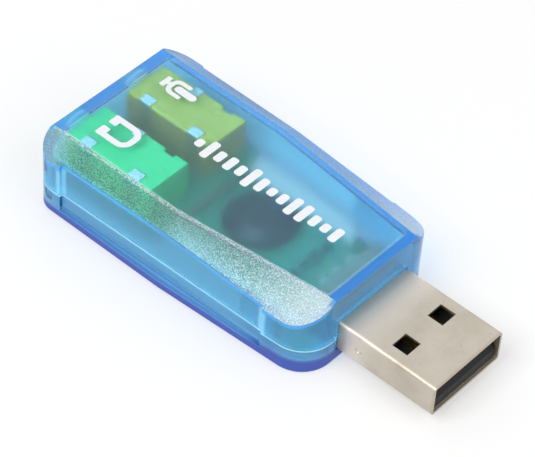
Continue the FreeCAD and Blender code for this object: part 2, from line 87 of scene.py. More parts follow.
class Signal:
    """A socket of a finish; arithmetic on it adds Math nodes."""

    def __init__(self, finish, socket):
        self.finish = finish
        self.socket = socket

    def other(self, name):
        """Another output of the same node."""
        return Signal(self.finish, self.socket.node.outputs[name])

    def maths(self, operation, *values):
        return self.finish.node("ShaderNodeMath", {"operation": operation}, dict(enumerate(values)))

    def __add__(self, other):
        return self.maths("ADD", self, other)

    __radd__ = __add__

    def __sub__(self, other):
        return self.maths("SUBTRACT", self, other)

    def __rsub__(self, other):
        return self.maths("SUBTRACT", other, self)

    def __mul__(self, other):
        return self.maths("MULTIPLY", self, other)

    __rmul__ = __mul__

    def __truediv__(self, other):
        return self.maths("DIVIDE", self, other)

    def __abs__(self):
        return self.maths("ABSOLUTE", self)

    def at_least(self, other):
        return self.maths("MAXIMUM", self, other)

    def at_most(self, other):
        return self.maths("MINIMUM", self, other)

    def fraction(self):
        return self.maths("FRACT", self)

    def root(self):
        return self.maths("SQRT", self)


class Finish:
    """A node tree that is filled node by node."""

    def __init__(self, tree, output):
        self.tree = tree
        self.tree.nodes.clear()
        self.output = self.tree.nodes.new(output)

    def node(self, kind, settings=None, sockets=None, result=0):
        """Adds a node: first its settings, then the values or links of its sockets."""
        node = self.tree.nodes.new(kind)
        for name, setting in (settings or {}).items():
            setattr(node, name, setting)
        for name, value in (sockets or {}).items():
            if isinstance(value, Signal):
                self.tree.links.new(value.socket, node.inputs[name])
            else:
                node.inputs[name].default_value = value
        return Signal(self, node.outputs[result])

    def place(self, stretch=(1, 1, 1)):
        """The place on the piece in millimetres, drawn out along an axis where stretch is below 1."""
        place = self.node("ShaderNodeTexCoord", result="Object")
        scale = tuple(share / MM for share in stretch)
        return self.node("ShaderNodeMapping", {"vector_type": "POINT"}, {"Vector": place, "Scale": scale})

    def axes(self):
        x = self.node("ShaderNodeSeparateXYZ", None, {"Vector": self.place()})
        return x, x.other("Y"), x.other("Z")

    def noise(self, place, per_mm, detail=2.0, rough=0.5):
        """Noise from 0 to 1 with about so many grains a millimetre."""
        return self.node("ShaderNodeTexNoise", None, {
            "Vector": place, "Scale": per_mm, "Detail": detail, "Roughness": rough})

    def rise(self, signal, low, high):
        """0 below low, 1 above high, smooth between them."""
        return self.node("ShaderNodeMapRange", {"interpolation_type": "SMOOTHSTEP"}, {
            "Value": signal, "From Min": low, "From Max": high})

    def fade(self, signal, low, high):
        """1 below low, 0 above high, smooth between them."""
        return 1 - self.rise(signal, low, high)

    def tint(self, factor, first, second):
        """From the first colour to the second."""
        def ink(colour):
            return colour if isinstance(colour, Signal) else (*colour, 1.0)
        return self.node("ShaderNodeMix", {"data_type": "RGBA"}, {
            0: factor, 6: ink(first), 7: ink(second)}, 2)

    def bump(self, height, depth):
        """A normal that follows a height, whose full range is depth millimetres."""
        return self.node("ShaderNodeBump", None, {
            "Strength": 1.0, "Distance": depth * MM, "Height": height}, "Normal")

    def plain(self, **sockets):
        """A Principled shader; the words of a socket's name are joined by underscores."""
        named = {name.replace("_", " "): value for name, value in sockets.items()}
        return self.node("ShaderNodeBsdfPrincipled", None, named)

    def blend(self, factor, first, second):
        return self.node("ShaderNodeMixShader", None, {0: factor, 1: first, 2: second})

    def seen_directly(self):
        """1 for what the camera, a reflection or a clear piece looks at, 0 for other light."""
        ray = self.node("ShaderNodeLightPath", result="Is Camera Ray")
        return ray.at_least(ray.other("Is Glossy Ray")).at_least(ray.other("Is Transmission Ray"))

    def show(self, shader, volume=None):
        self.tree.links.new(shader.socket, self.output.inputs["Surface"])
        if volume:
            self.tree.links.new(volume.socket, self.output.inputs["Volume"])


def new_finish(name):
    material = bpy.data.materials.new(name)
    material.use_nodes = True
    return material, Finish(material.node_tree, "ShaderNodeOutputMaterial")


# Finishes

def from_corner(from_side, from_end, radius):
    """Depth below the upright walls of a corner that is rounded with a radius."""
    across, along = (radius - from_side).at_least(0), (radius - from_end).at_least(0)
    return radius - (across * across + along * along).root()


class CaseZones:
    """Zones of the clear case: each is 1 inside the zone and 0 outside it. Distances are in millimetres. Most
    zones mark where highlights and shade are painted.
    """

    def __init__(self, f):
        x, y, z = f.axes()
        past_bend = (x - BEND).at_least(0)
        beyond_top = abs(y) - (HALF_TOP - TOP_LOSS * past_bend)
        below_top = TOP - z
        from_side = HALF_WIDTH - WIDTH_LOSS * past_bend - abs(y)
        from_bevel = below_top * math.cos(BEVEL_ANGLE) - beyond_top * math.sin(BEVEL_ANGLE)
        from_jack_end, from_front = x - JACK_END, FRONT_END - x
        from_end = from_jack_end.at_most(from_front)
        upright = from_corner(from_side, from_jack_end, JACK_CORNER).at_most(
            from_corner(from_side, from_front, FRONT_CORNER))
        self.x, self.z = x, z
        self.from_jack_end, self.from_front, self.from_end = from_jack_end, from_front, from_end
        self.far_side = f.rise(y, 0.0, 1.0)

        skin_depth = upright.at_most(from_bevel).at_most(below_top).at_most(z)
        slot = f.rise(from_jack_end, 0.08, 0.2) * f.rise(from_side.at_most(below_top).at_most(z), 0.6, 0.9)
        slot = slot * f.fade(from_jack_end, WALL - 0.5, WALL - 0.3)
        self.inside = f.rise(skin_depth, WALL - 0.45, WALL - 0.2).at_least(slot)
        outside = 1 - self.inside
        ceiling = TOP - WALL
        lining = f.rise(upright, WALL - 0.3, WALL - 0.15) * f.fade(upright, WALL + 0.15, WALL + 0.4)
        self.lining = lining * f.rise(z, WALL + 0.2, WALL + 0.6) * f.fade(z, ceiling - 1.4, ceiling - 0.6)

        self.frosted = f.fade(abs(from_bevel), 0.05, 0.11) * f.rise(beyond_top, -0.12, 0.0)
        polished = 1 - self.frosted
        self.bevel_foot = f.fade(from_bevel, 0.35, 0.75) * f.rise(beyond_top, 0.5, 0.9) * polished
        self.crest = f.fade(abs(beyond_top), 0.14, 0.36) * f.rise(z, TOP - 0.3, TOP - 0.15) * outside
        self.far_crest = f.rise(beyond_top, -0.75, -0.4) * f.rise(z, TOP - 0.1, TOP - 0.03) * self.far_side
        self.brim = f.fade(from_end.at_least(below_top), 0.3, 0.7)
        end_wall = f.fade(from_front.at_most(from_jack_end - 0.5), WALL - 0.3, WALL)
        self.end_brim = end_wall * f.rise(z, TOP - 0.3, TOP - 0.1) * polished

        self.wall = f.fade(upright, WALL - 0.5, WALL - 0.35) * polished
        self.parting = f.fade(abs(z - PARTING), 0.08, 0.15) * outside
        from_fold = abs(x - RECESS_ENDS[0]).at_most(abs(x - RECESS_ENDS[1]))
        self.fold = f.fade(from_fold, 0.35, 0.95) * f.rise(z, PARTING, PARTING + 0.3) * self.wall
        front_start, front_full, front_lift = 4.0, 9.0, 0.7
        front_part = f.rise(x, front_start, front_full)
        self.bottom_rim = f.fade(z - front_part * front_lift, 1.0, 2.3) * self.wall
        self.ledge = f.fade(abs(z - LIP_HEIGHT), 0.04, 0.2) * (1 - front_part) * self.wall


# Colour that the clear plastic gives to the light that goes through its skin. The darker tints of the walls
# are painted shade, deepest at the front, the front corner and the bottom rim, and lightest at the jack end
SKIN_AND_PAINTED_SHADE = {
    "lower_panel": (0.9, 1.0, 1.0),
    "upper_panel": (0.65, 0.92, 1.0),
    "jack_end": (0.46, 0.84, 1.0),
    "side": (0.16, 0.55, 0.72),
    "below_parting": (0.15, 0.48, 0.8),
    "front_corner": (0.06, 0.34, 0.39),
    "front": (0.04, 0.38, 0.62),
    "bottom_rim": (0.07, 0.12, 0.57),
}

# The same on the frosted bevels: in the pits of the grain, then on its peaks. The greenish tint over the
# sockets and the lighter, bluer tint of the far side are painted light
GRAIN_AND_PAINTED_LIGHT = {
    "near_sockets": ((0.01, 0.28, 0.19), (0.14, 0.8, 0.66)),
    "near_front": ((0.09, 0.3, 0.27), (0.34, 0.66, 0.66)),
    "far": ((0.13, 0.3, 0.55), (0.44, 0.66, 0.95)),
}

# Colours of painted highlights and painted shade on the plastic: highlights on the bevels, the inner lining
# (lighter on the far side), the ledge, folds, parting, brims and bevel foot; deep blue shade on the walls and
# the bottom rim
PAINTED_LIGHT_AND_SHADE = {
    "bevel": (0.82, 0.94, 0.98),
    "near_lining": (0.45, 0.78, 0.9),
    "far_lining": (0.6, 0.88, 0.98),
    "wall": (0.05, 0.21, 0.4),
    "bottom_rim": (0.02, 0.05, 0.36),
    "ledge": (0.13, 0.42, 0.78),
    "fold": (0.32, 0.76, 1.0),
    "parting": (0.55, 0.93, 1.0),
    "brim": (0.06, 0.36, 0.88),
    "jack_brim": (0.07, 0.3, 0.78),
    "front_brim": (0.03, 0.24, 0.74),
    "bevel_foot": (0.06, 0.4, 1.0),
}

# How far painted highlights and shade cover a zone, from 0, clear, to 1
PAINTED_LIGHT_SHARES = {
    "bevel_foot": 0.6,
    "parting": 0.6,
    "bottom_rim": 0.85,
    "brim": 0.6,
    "end_brim": 0.6,
    "far_crest": 0.4,
    "lining": 0.55,
    "fold": 0.5,
    "ledge": 0.6,
}


def skin_and_painted_light(f, zones, peaks):
    """Colour that the plastic gives to the light that goes through it, with painted shade on the walls and
    painted light on the frosted bevels.
    """
    z, from_front = zones.z, zones.from_front
    panel = f.tint(f.rise(z, PARTING - 0.5, PARTING), SKIN_AND_PAINTED_SHADE["lower_panel"], SKIN_AND_PAINTED_SHADE["upper_panel"])
    # Painted shade: the walls are tinted darker than the panels
    wall = f.tint(f.rise(from_front, 4.0, 7.0), SKIN_AND_PAINTED_SHADE["front_corner"], SKIN_AND_PAINTED_SHADE["side"])
    wall = f.tint(f.rise(from_front, 0.3, 1.2), SKIN_AND_PAINTED_SHADE["front"], wall)
    wall = f.tint(f.rise(z, PARTING - 0.6, PARTING - 0.1), SKIN_AND_PAINTED_SHADE["below_parting"], wall)
    wall = f.tint(f.rise(zones.from_jack_end, 1.5, 4.0), SKIN_AND_PAINTED_SHADE["jack_end"], wall)
    skin_and_shade = f.tint(zones.bottom_rim, f.tint(zones.wall, panel, wall), SKIN_AND_PAINTED_SHADE["bottom_rim"])
    # Painted light on the frosted bevels: greenish over the sockets, lighter and bluer on the far side
    grain = {part: f.tint(peaks, *tones) for part, tones in GRAIN_AND_PAINTED_LIGHT.items()}
    near = f.tint(f.rise(zones.x, BEND - 4, BEND + 5), grain["near_sockets"], grain["near_front"])
    return f.tint(zones.frosted, skin_and_shade, f.tint(zones.far_side, near, grain["far"]))


def painted_light_colour(f, zones):
    """Colour of the painted highlights and shade; a later zone covers an earlier one."""
    # Painted light on the inner lining, lighter on the far side
    lining = f.tint(zones.far_side, PAINTED_LIGHT_AND_SHADE["near_lining"], PAINTED_LIGHT_AND_SHADE["far_lining"])
    colour = f.tint(zones.lining, PAINTED_LIGHT_AND_SHADE["bevel"], lining)
    end_brim = f.tint(f.rise(zones.x, JACK_END, FRONT_END), PAINTED_LIGHT_AND_SHADE["jack_brim"], PAINTED_LIGHT_AND_SHADE["front_brim"])
    ledge_strength = 0.6
    # Painted shade on the walls and the bottom rim, painted highlights on the ledge, folds, parting, brims
    # and bevel foot
    layers = (
        (zones.wall, PAINTED_LIGHT_AND_SHADE["wall"]),
        (zones.bottom_rim, PAINTED_LIGHT_AND_SHADE["bottom_rim"]),
        (zones.ledge * ledge_strength, PAINTED_LIGHT_AND_SHADE["ledge"]),
        (zones.fold, PAINTED_LIGHT_AND_SHADE["fold"]),
        (zones.parting, PAINTED_LIGHT_AND_SHADE["parting"]),
        (zones.brim.at_least(zones.far_crest), PAINTED_LIGHT_AND_SHADE["brim"]),
        (zones.end_brim, end_brim),
        (zones.bevel_foot, PAINTED_LIGHT_AND_SHADE["bevel_foot"]))
    for zone, tone in layers:
        colour = f.tint(zone, colour, tone)
    return colour


def painted_light_share(f, zones, grain):
    """How far painted highlights and shade cover the plastic, from 0, clear, to 1."""
    x = zones.x
    # White specks of the frost, painted brighter towards the front as glints
    least_speckle, front_gain = 0.12, 0.78
    specks_and_glints = f.rise(grain, 0.53, 0.62) * (least_speckle + f.rise(x, BEND, FRONT_END) * front_gain)
    # Painted sheen on the bevels at the front and at the jack end
    jack_sheen, front_sheen = 0.16, 0.36
    sheen = f.rise(x, FRONT_END - 12, FRONT_END) * front_sheen
    sheen = sheen + f.fade(zones.from_jack_end, 1.5, 6.0) * jack_sheen
    # Painted highlight along the crest, painted shade on the walls, less near the ends
    crest_share, end_share, side_gain = 0.45, 0.08, 0.22
    crest = zones.crest * f.rise(grain, 0.4, 0.55) * crest_share
    wall = zones.wall * (end_share + f.rise(zones.from_end, 0.3, 2.5) * side_gain)
    share = (zones.frosted * specks_and_glints.at_least(sheen)).at_least(crest).at_least(wall)
    for zone, most in PAINTED_LIGHT_SHARES.items():
        share = share.at_least(getattr(zones, zone) * most)
    return share


def clear_blue_plastic():
    """Clear plastic that colours with depth: polished outside, dull inside, spark-eroded on the bevels, with
    painted highlights and shade.
    """
    material, f = new_finish("clear_blue_plastic")
    zones = CaseZones(f)
    grain = f.noise(f.place(), per_mm=6.6, detail=2.0, rough=0.6)
    haze = f.noise(f.place(), per_mm=0.6, detail=4.0, rough=0.7)
    sink = f.noise(f.place(), per_mm=0.22, detail=1.0)
    relief = f.bump(zones.frosted * grain + sink * 0.3, depth=0.05)
    clear = f.plain(
        Base_Color=skin_and_painted_light(f, zones, f.rise(grain, 0.44, 0.56)),
        Roughness=0.045 + haze * 0.04 + zones.inside * 0.27 + zones.frosted * (0.16 + grain * 0.2),
        IOR=1.5, Transmission_Weight=1.0, Normal=relief)
    # An opaque layer that carries the painted highlights and shade
    painted_light = f.plain(Base_Color=painted_light_colour(f, zones), Roughness=0.5, Normal=relief)
    surface = f.blend(painted_light_share(f, zones, grain), clear, painted_light)
    shadow = f.node("ShaderNodeLightPath", result="Is Shadow Ray")
    let_through = f.node("ShaderNodeBsdfTransparent", None, {"Color": (0.88, 0.96, 1.0, 1.0)})
    depth = f.node("ShaderNodeVolumeAbsorption", None, {"Color": (0.08, 0.69, 0.94, 1.0), "Density": 205.0})
    f.show(f.blend(shadow, surface, let_through), depth)
    return material


def moulded(name, colour, shade, painted_shade, roughness, grain_depth, shine=0.5):
    """Moulded plastic: a slow change of shade, flow marks, a satin grain, and painted shade on the sides
    below the top, away from the nose.
    """
    material, f = new_finish(name)
    x, _, z = f.axes()
    top = f.rise(z, JACK_TOP - 0.6, JACK_TOP - 0.1)
    nose = f.fade(x, JACK_END + 1.2, JACK_END + 2.0)
    flow = f.noise(f.place((0.25, 1, 1)), per_mm=0.9, detail=3.0)
    grain = f.noise(f.place(), per_mm=7.0, detail=2.0)
    # Painted shade: below the top and away from the nose the colour turns to the shaded one
    f.show(f.plain(
        Base_Color=f.tint(top.at_least(nose), painted_shade, f.tint(f.rise(flow, 0.3, 0.75), colour, shade)),
        Roughness=roughness + flow * 0.14, Specular_IOR_Level=shine,
        Normal=f.bump(grain + flow * 0.6, grain_depth)))
    return material


def plated(name, colour, shade, roughness, stretch=(0.12, 1, 1), brush_depth=0.004):
    """Plated sheet metal: rolling marks along the strip and a few dull patches."""
    material, f = new_finish(name)
    brush = f.noise(f.place(stretch), per_mm=9.0, detail=3.0, rough=0.6)
    patch = f.noise(f.place(), per_mm=0.5, detail=3.0)
    f.show(f.plain(
        Base_Color=f.tint(f.rise(patch, 0.35, 0.75), colour, shade), Metallic=1.0,
        Roughness=roughness + brush * 0.1 + f.rise(patch, 0.5, 0.8) * 0.08,
        Normal=f.bump(brush, brush_depth)))
    return material


def spring_metal():
    """Tinned strip: painted near white where it folds over a socket, as tin with a painted highlight; its
    legs carry painted shade and a painted reflection in the colour of the plastic beside them.
    """
    material, f = new_finish("spring_metal")
    _, y, z = f.axes()
    folded = f.rise(z, JACK_TOP - 0.25, JACK_TOP + 0.05)
    brush = f.noise(f.place((0.12, 1, 1)), per_mm=9.0, detail=3.0, rough=0.6)
    # The tin, painted near white and warm as a highlight
    tin_and_highlight = f.tint(brush, (1.0, 0.85, 0.76), (0.92, 0.78, 0.7))
    # Painted shade and painted reflection: green beside the green socket, olive beside the yellow one
    shaded_legs = f.tint(f.rise(y, -1.0, 1.0), (0.12, 0.42, 0.2), (0.42, 0.3, 0.16))
    f.show(f.plain(
        Base_Color=f.tint(folded, shaded_legs, tin_and_highlight), Metallic=0.2,
        Roughness=0.3 + brush * 0.1, Normal=f.bump(brush, depth=0.004)))
    return material


def plug_steel():
    """Nickel-plated plug: rolling marks, handling specks, a brown rub on the folds, and painted light that
    makes it paler just outside the case.
    """
    material, f = new_finish("plug_steel")
    x, y, z = f.axes()
    brush = f.noise(f.place((0.1, 1, 1)), per_mm=8.0, detail=3.0, rough=0.6)
    patch = f.noise(f.place(), per_mm=0.28, detail=4.0, rough=0.6)
    speck = f.noise(f.place(), per_mm=2.6, detail=2.0)
    fold = f.rise(abs(y), PLUG_HALF_WIDTH - 0.45, PLUG_HALF_WIDTH - 0.2)
    fold = fold * f.rise(abs(z - PLUG_AXIS), PLUG_HALF_HEIGHT - 0.5, PLUG_HALF_HEIGHT - 0.25)
    mouth = f.rise(x, PLUG_TIP - 0.35, PLUG_TIP - 0.05)
    nickel = f.tint(f.rise(patch, 0.3, 0.75), (0.59, 0.545, 0.465), (0.51, 0.465, 0.39))
    # Painted light: a paler band just outside the case
    painted_light_at_case = f.rise(x, FRONT_END + 0.3, FRONT_END + 1.6) * f.fade(x, FRONT_END + 2.0, FRONT_END + 6.0)
    nickel = f.tint(painted_light_at_case, nickel, (0.76, 0.7, 0.62))
    rubbed = f.tint(fold * f.rise(patch, 0.35, 0.6) * 0.45 + mouth * 0.25, nickel, (0.36, 0.25, 0.17))
    nick = f.rise(speck, 0.73, 0.8)
    specked = f.tint(nick * 0.6, rubbed, (0.2, 0.16, 0.13))
    f.show(f.plain(
        Base_Color=specked, Metallic=1.0, Roughness=0.37 + brush * 0.08 + patch * 0.12,
        Normal=f.bump(brush - nick, depth=0.004)))
    return material


def board_green():
    """Solder mask over copper tracks, painted shade around the chip, bare laminate on the edges."""
    material, f = new_finish("board_green")
    x, y, z = f.axes()
    lanes = f.node("ShaderNodeTexVoronoi", {"distance": "MANHATTAN", "feature": "F1"},
                   {"Vector": f.place(), "Scale": 0.42, "Randomness": 0.85}, "Distance")
    tracks_a_lane = 3.2
    track = f.rise(abs((lanes * tracks_a_lane).fraction() - 0.5), 0.17, 0.22)
    weave = f.noise(f.place((1, 0.1, 1)), per_mm=3.0) * f.noise(f.place((0.1, 1, 1)), per_mm=3.0)
    middle, half = (BOARD_TOP + BOARD_BOTTOM) / 2, (BOARD_TOP - BOARD_BOTTOM) / 2
    edge = f.fade(abs(z - middle), half - 0.06, half - 0.03)
    mask = f.tint(track, (0.031, 0.217, 0.125), (0.057, 0.295, 0.172))
    low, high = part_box("audio_chip")
    along, across = x - (low.x + high.x) / 2 / MM, y - (low.y + high.y) / 2 / MM
    # Painted shade: a dark round patch around the chip
    shade_radius, shade_edge = 4.5, 0.7
    painted_shade_round_chip = f.fade((along * along + across * across).root(), shade_radius, shade_radius + shade_edge)
    mask = f.tint(f.rise(x, 0.0, 4.0) * 0.6, mask, (0.06, 0.38, 0.3))
    mask = f.tint(painted_shade_round_chip, mask, (0.03, 0.035, 0.045))
    f.show(f.plain(
        Base_Color=f.tint(edge, mask, f.tint(weave, (0.5, 0.46, 0.24), (0.62, 0.58, 0.34))),
        Roughness=0.34 + weave * 0.3 + edge * 0.3, Normal=f.bump(track + weave * 0.3, depth=0.03)))
    return material


def black_epoxy():
    """Epoxy that was dropped over the chip: glossy, slightly uneven, with a dull bloom."""
    material, f = new_finish("black_epoxy")
    bloom = f.noise(f.place(), per_mm=0.8, detail=4.0, rough=0.65)
    swell = f.noise(f.place(), per_mm=0.45, detail=1.0)
    f.show(f.plain(
        Base_Color=f.tint(f.rise(bloom, 0.4, 0.7), (0.035, 0.035, 0.04), (0.085, 0.08, 0.085)),
        Roughness=0.24 + bloom * 0.3, Normal=f.bump(swell + bloom * 0.1, depth=0.2)))
    return material


def capped_chip(name, body, shade, from_middle):
    """Small ceramic part with tinned ends; from_middle gives the distance from its middle in millimetres."""
    material, f = new_finish(name)
    ends = f.rise(from_middle(f), CHIP_CAP_START - 0.03, CHIP_CAP_START + 0.03)
    grain = f.noise(f.place(), per_mm=5.0, detail=3.0)
    tin = f.tint(grain, (0.34, 0.34, 0.33), (0.44, 0.44, 0.43))
    f.show(f.plain(
        Base_Color=f.tint(ends, f.tint(grain, body, shade), tin),
        Metallic=ends, Roughness=0.5 - ends * 0.2 + grain * 0.12, Normal=f.bump(grain, depth=0.02)))
    return material


def resistor_ceramic():
    row = sum(corner.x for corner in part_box("chip_resistor_1")) / 2 / MM

    def from_middle(f):
        return abs(f.axes()[0] - row)
    return capped_chip("resistor_ceramic", (0.012, 0.012, 0.014), (0.03, 0.03, 0.034), from_middle)


def capacitor_ceramic():
    def from_middle(f):
        return abs((f.axes()[1] / CHIP_ROW_PITCH).fraction() - 0.5) * CHIP_ROW_PITCH
    return capped_chip("capacitor_ceramic", (0.2, 0.15, 0.09), (0.27, 0.2, 0.13), from_middle)


def white_ink():
    """Opaque white print with a slightly uneven film."""
    material, f = new_finish("white_ink")
    film = f.noise(f.place(), per_mm=2.4, detail=3.0)
    f.show(f.plain(
        Base_Color=f.tint(f.rise(film, 0.35, 0.8), (0.76, 0.78, 0.81), (0.7, 0.73, 0.78)),
        Roughness=0.45 + film * 0.15, Normal=f.bump(film, depth=0.01)))
    return material


FINISHES = {
    "clear_blue_plastic": clear_blue_plastic(),
    "green_plastic": moulded(
        "green_plastic", colour=(0.11, 0.79, 0.27), shade=(0.085, 0.7, 0.22), painted_shade=(0.075, 0.58, 0.19),
        roughness=0.36, grain_depth=0.01),
    "yellow_plastic": moulded(
        "yellow_plastic", colour=(0.88, 0.6, 0.11), shade=(0.79, 0.51, 0.085), painted_shade=(0.62, 0.34, 0.12),
        roughness=0.36, grain_depth=0.01),
    "black_plastic": moulded(
        "black_plastic", colour=(0.012, 0.012, 0.012), shade=(0.02, 0.019, 0.018),
        painted_shade=(0.014, 0.014, 0.014), roughness=0.5, grain_depth=0.008, shine=0.25),
    "plug_steel": plug_steel(),
    "spring_metal": spring_metal(),
    "gold_contact": plated(
        "gold_contact", colour=(0.88, 0.66, 0.29), shade=(0.78, 0.55, 0.22), roughness=0.2),
    "board_green": board_green(),
    "black_epoxy": black_epoxy(),
    "crystal_can": plated(
        "crystal_can", colour=(0.78, 0.78, 0.77), shade=(0.66, 0.65, 0.64), roughness=0.22,
        stretch=(1, 0.12, 1)),
    "resistor_ceramic": resistor_ceramic(),
    "capacitor_ceramic": capacitor_ceramic(),
}
SOLDER = plated(
    "solder", colour=(0.74, 0.74, 0.73), shade=(0.6, 0.6, 0.6), roughness=0.24,
    stretch=(1, 1, 1), brush_depth=0.03)
INK = white_ink()

for part in frame["record"]["subparts"]:
    frame["nodes"][part["node"]].material_slots[0].material = FINISHES[part["material_slot"]]


# Pieces that are added to the model

def add_piece(name, mesh, material):
    """A finished mesh as a piece that rides on the part, with merged corners and faces outwards."""
    work = bmesh.new()
    work.from_mesh(mesh)
    bmesh.ops.remove_doubles(work, verts=work.verts, dist=1e-7)
    bmesh.ops.recalc_face_normals(work, faces=work.faces)
    work.to_mesh(mesh)
    work.free()
    mesh.materials.clear()
    mesh.materials.append(material)
    mesh.name = name
    piece = bpy.data.objects.new(name, mesh)
    scene.collection.objects.link(piece)
    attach(piece, "root")
    return piece


def plain_mesh(source):
    """The evaluated shape of an object as a mesh of its own; the object is removed."""
    scene.collection.objects.link(source)
    depsgraph = bpy.context.evaluated_depsgraph_get()
    mesh = bpy.data.meshes.new_from_object(source.evaluated_get(depsgraph))
    bpy.data.objects.remove(source)
    return mesh


ARC_STEPS = 10


def rounded_outline(corners):
    """A closed outline from corners (x, y, radius), with an arc of that radius at each corner."""
    points = []
    for index, (x, y, radius) in enumerate(corners):
        here = Vector((x, y))
        before = (Vector(corners[index - 1][:2]) - here).normalized()
        after = (Vector(corners[(index + 1) % len(corners)][:2]) - here).normalized()
        half = before.angle(after) / 2
        centre = here + (before + after).normalized() * (radius / math.sin(half))
        start = here + before * (radius / math.tan(half)) - centre
        turn = math.pi - 2 * half
        if before.x * after.y - before.y * after.x > 0:
            turn = -turn
        for step in range(ARC_STEPS + 1 if radius else 1):
            spoke = start.copy()
            spoke.rotate(Matrix.Rotation(turn * step / ARC_STEPS, 2))
            points.append(centre + spoke)
    return points


def printed_sign(name, outlines):
    """A sign in white ink on the flat top, from closed outlines in millimetres."""
    curve = bpy.data.curves.new(name, "CURVE")
    curve.dimensions = "2D"
    curve.fill_mode = "BOTH"
    curve.extrude = INK_THICKNESS / 2
    for outline in outlines:
        spline = curve.splines.new("POLY")
        spline.points.add(len(outline) - 1)
        for point, place in zip(spline.points, outline):
            point.co = (place.x, place.y, 0, 1)
        spline.use_cyclic_u = True
    mesh = plain_mesh(bpy.data.objects.new(name, curve))
    height = TOP - INK_SUNK + INK_THICKNESS / 2
    mesh.transform(Matrix.Scale(MM, 4) @ Matrix.Translation((0, 0, height)))
    return add_piece(name, mesh, INK)


def headphone_sign():
    """An arch with a pad at each end, open towards the sockets."""
    x, y = -21.55, -4.75
    band, arch_top, arch_half, arch_radius = 0.8, 2.7, 1.95, 1.6
    pad_end, pad_start, pad_in, pad_radius = -2.05, -0.9, 0.36, 0.2
    inner_half = arch_half - band
    inner_top, inner_radius = arch_top - band, arch_radius - band
    far_half = [
        (pad_end, pad_in, pad_radius), (pad_end, arch_half, pad_radius), (arch_top, arch_half, arch_radius)]
    near_half = [(u, -v, r) for u, v, r in reversed(far_half)]
    inner = [
        (pad_start, -pad_in, pad_radius), (pad_start, -inner_half, 0), (inner_top, -inner_half, inner_radius),
        (inner_top, inner_half, inner_radius), (pad_start, inner_half, 0), (pad_start, pad_in, pad_radius)]
    outline = rounded_outline([(x + u, y + v, r) for u, v, r in far_half + near_half + inner])
    return printed_sign("headphone_sign", [outline])


def microphone_sign():
    """A capsule in a forked holder, with a stem and a foot towards the sockets."""
    y = 5.43
    capsule_start, capsule_end, capsule_half, capsule_radius = -22.0, -18.8, 0.52, 0.5
    holder_end, holder_in, holder_out, holder_floor, holder_back = -20.4, 0.78, 1.36, -22.35, -22.95
    holder_radius, throat_radius = 1.0, 0.55
    stem_half, foot_half, foot_start, foot_end, tip_radius = 0.3, 0.9, -23.25, -23.95, 0.12
    near_half = [
        (foot_end, -foot_half, tip_radius), (foot_start, -foot_half, tip_radius), (foot_start, -stem_half, 0),
        (holder_back, -stem_half, 0), (holder_back, -holder_out, holder_radius),
        (holder_end, -holder_out, tip_radius), (holder_end, -holder_in, tip_radius),
        (holder_floor, -holder_in, throat_radius)]
    far_half = [(u, -v, r) for u, v, r in reversed(near_half)]
    capsule = [
        (capsule_start, -capsule_half, capsule_radius), (capsule_end, -capsule_half, capsule_radius),
        (capsule_end, capsule_half, capsule_radius), (capsule_start, capsule_half, capsule_radius)]
    shapes = (capsule, near_half + far_half)
    outlines = [rounded_outline([(u, y + v, r) for u, v, r in shape]) for shape in shapes]
    return printed_sign("microphone_sign", outlines)


class Recipe:
    """A Geometry Nodes tree that is filled node by node, with named inputs."""

    def __init__(self, name, inputs):
        self.tree = bpy.data.node_groups.new(name, "GeometryNodeTree")
        self.tree.interface.new_socket("Geometry", in_out="INPUT", socket_type="NodeSocketGeometry")
        self.tree.interface.new_socket("Geometry", in_out="OUTPUT", socket_type="NodeSocketGeometry")
        for label, kind in inputs.items():
            self.tree.interface.new_socket(label, in_out="INPUT", socket_type=f"NodeSocket{kind}")
        self.given = self.tree.nodes.new("NodeGroupInput").outputs
        self.result = self.tree.nodes.new("NodeGroupOutput").inputs["Geometry"]

    def node(self, kind, settings=None, sockets=None, result=0):
        node = self.tree.nodes.new(kind)
        for name, setting in (settings or {}).items():
            setattr(node, name, setting)
        for name, value in (sockets or {}).items():
            for source in value if isinstance(value, list) else [value]:
                if isinstance(source, bpy.types.NodeSocket):
                    self.tree.links.new(source, node.inputs[name])
                else:
                    node.inputs[name].default_value = source
        return node.outputs[result]

    def maths(self, operation, *values):
        return self.node("ShaderNodeMath", {"operation": operation}, dict(enumerate(values)))

    def finish(self, geometry, material):
        realized = self.node("GeometryNodeRealizeInstances", None, {"Geometry": geometry})
        painted = self.node("GeometryNodeSetMaterial", None, {"Geometry": realized, "Material": material})
        self.tree.links.new(painted, self.result)

    def make(self, name, base, values):
        """The mesh that the tree gives for a base mesh and the values of its named inputs."""
        source = bpy.data.objects.new(name, base)
        modifier = source.modifiers.new(name, "NODES")
        modifier.node_group = self.tree
        for item in self.tree.interface.items_tree:
            if item.in_out == "INPUT" and item.name in values:
                modifier[item.identifier] = values[item.name]
        return plain_mesh(source)


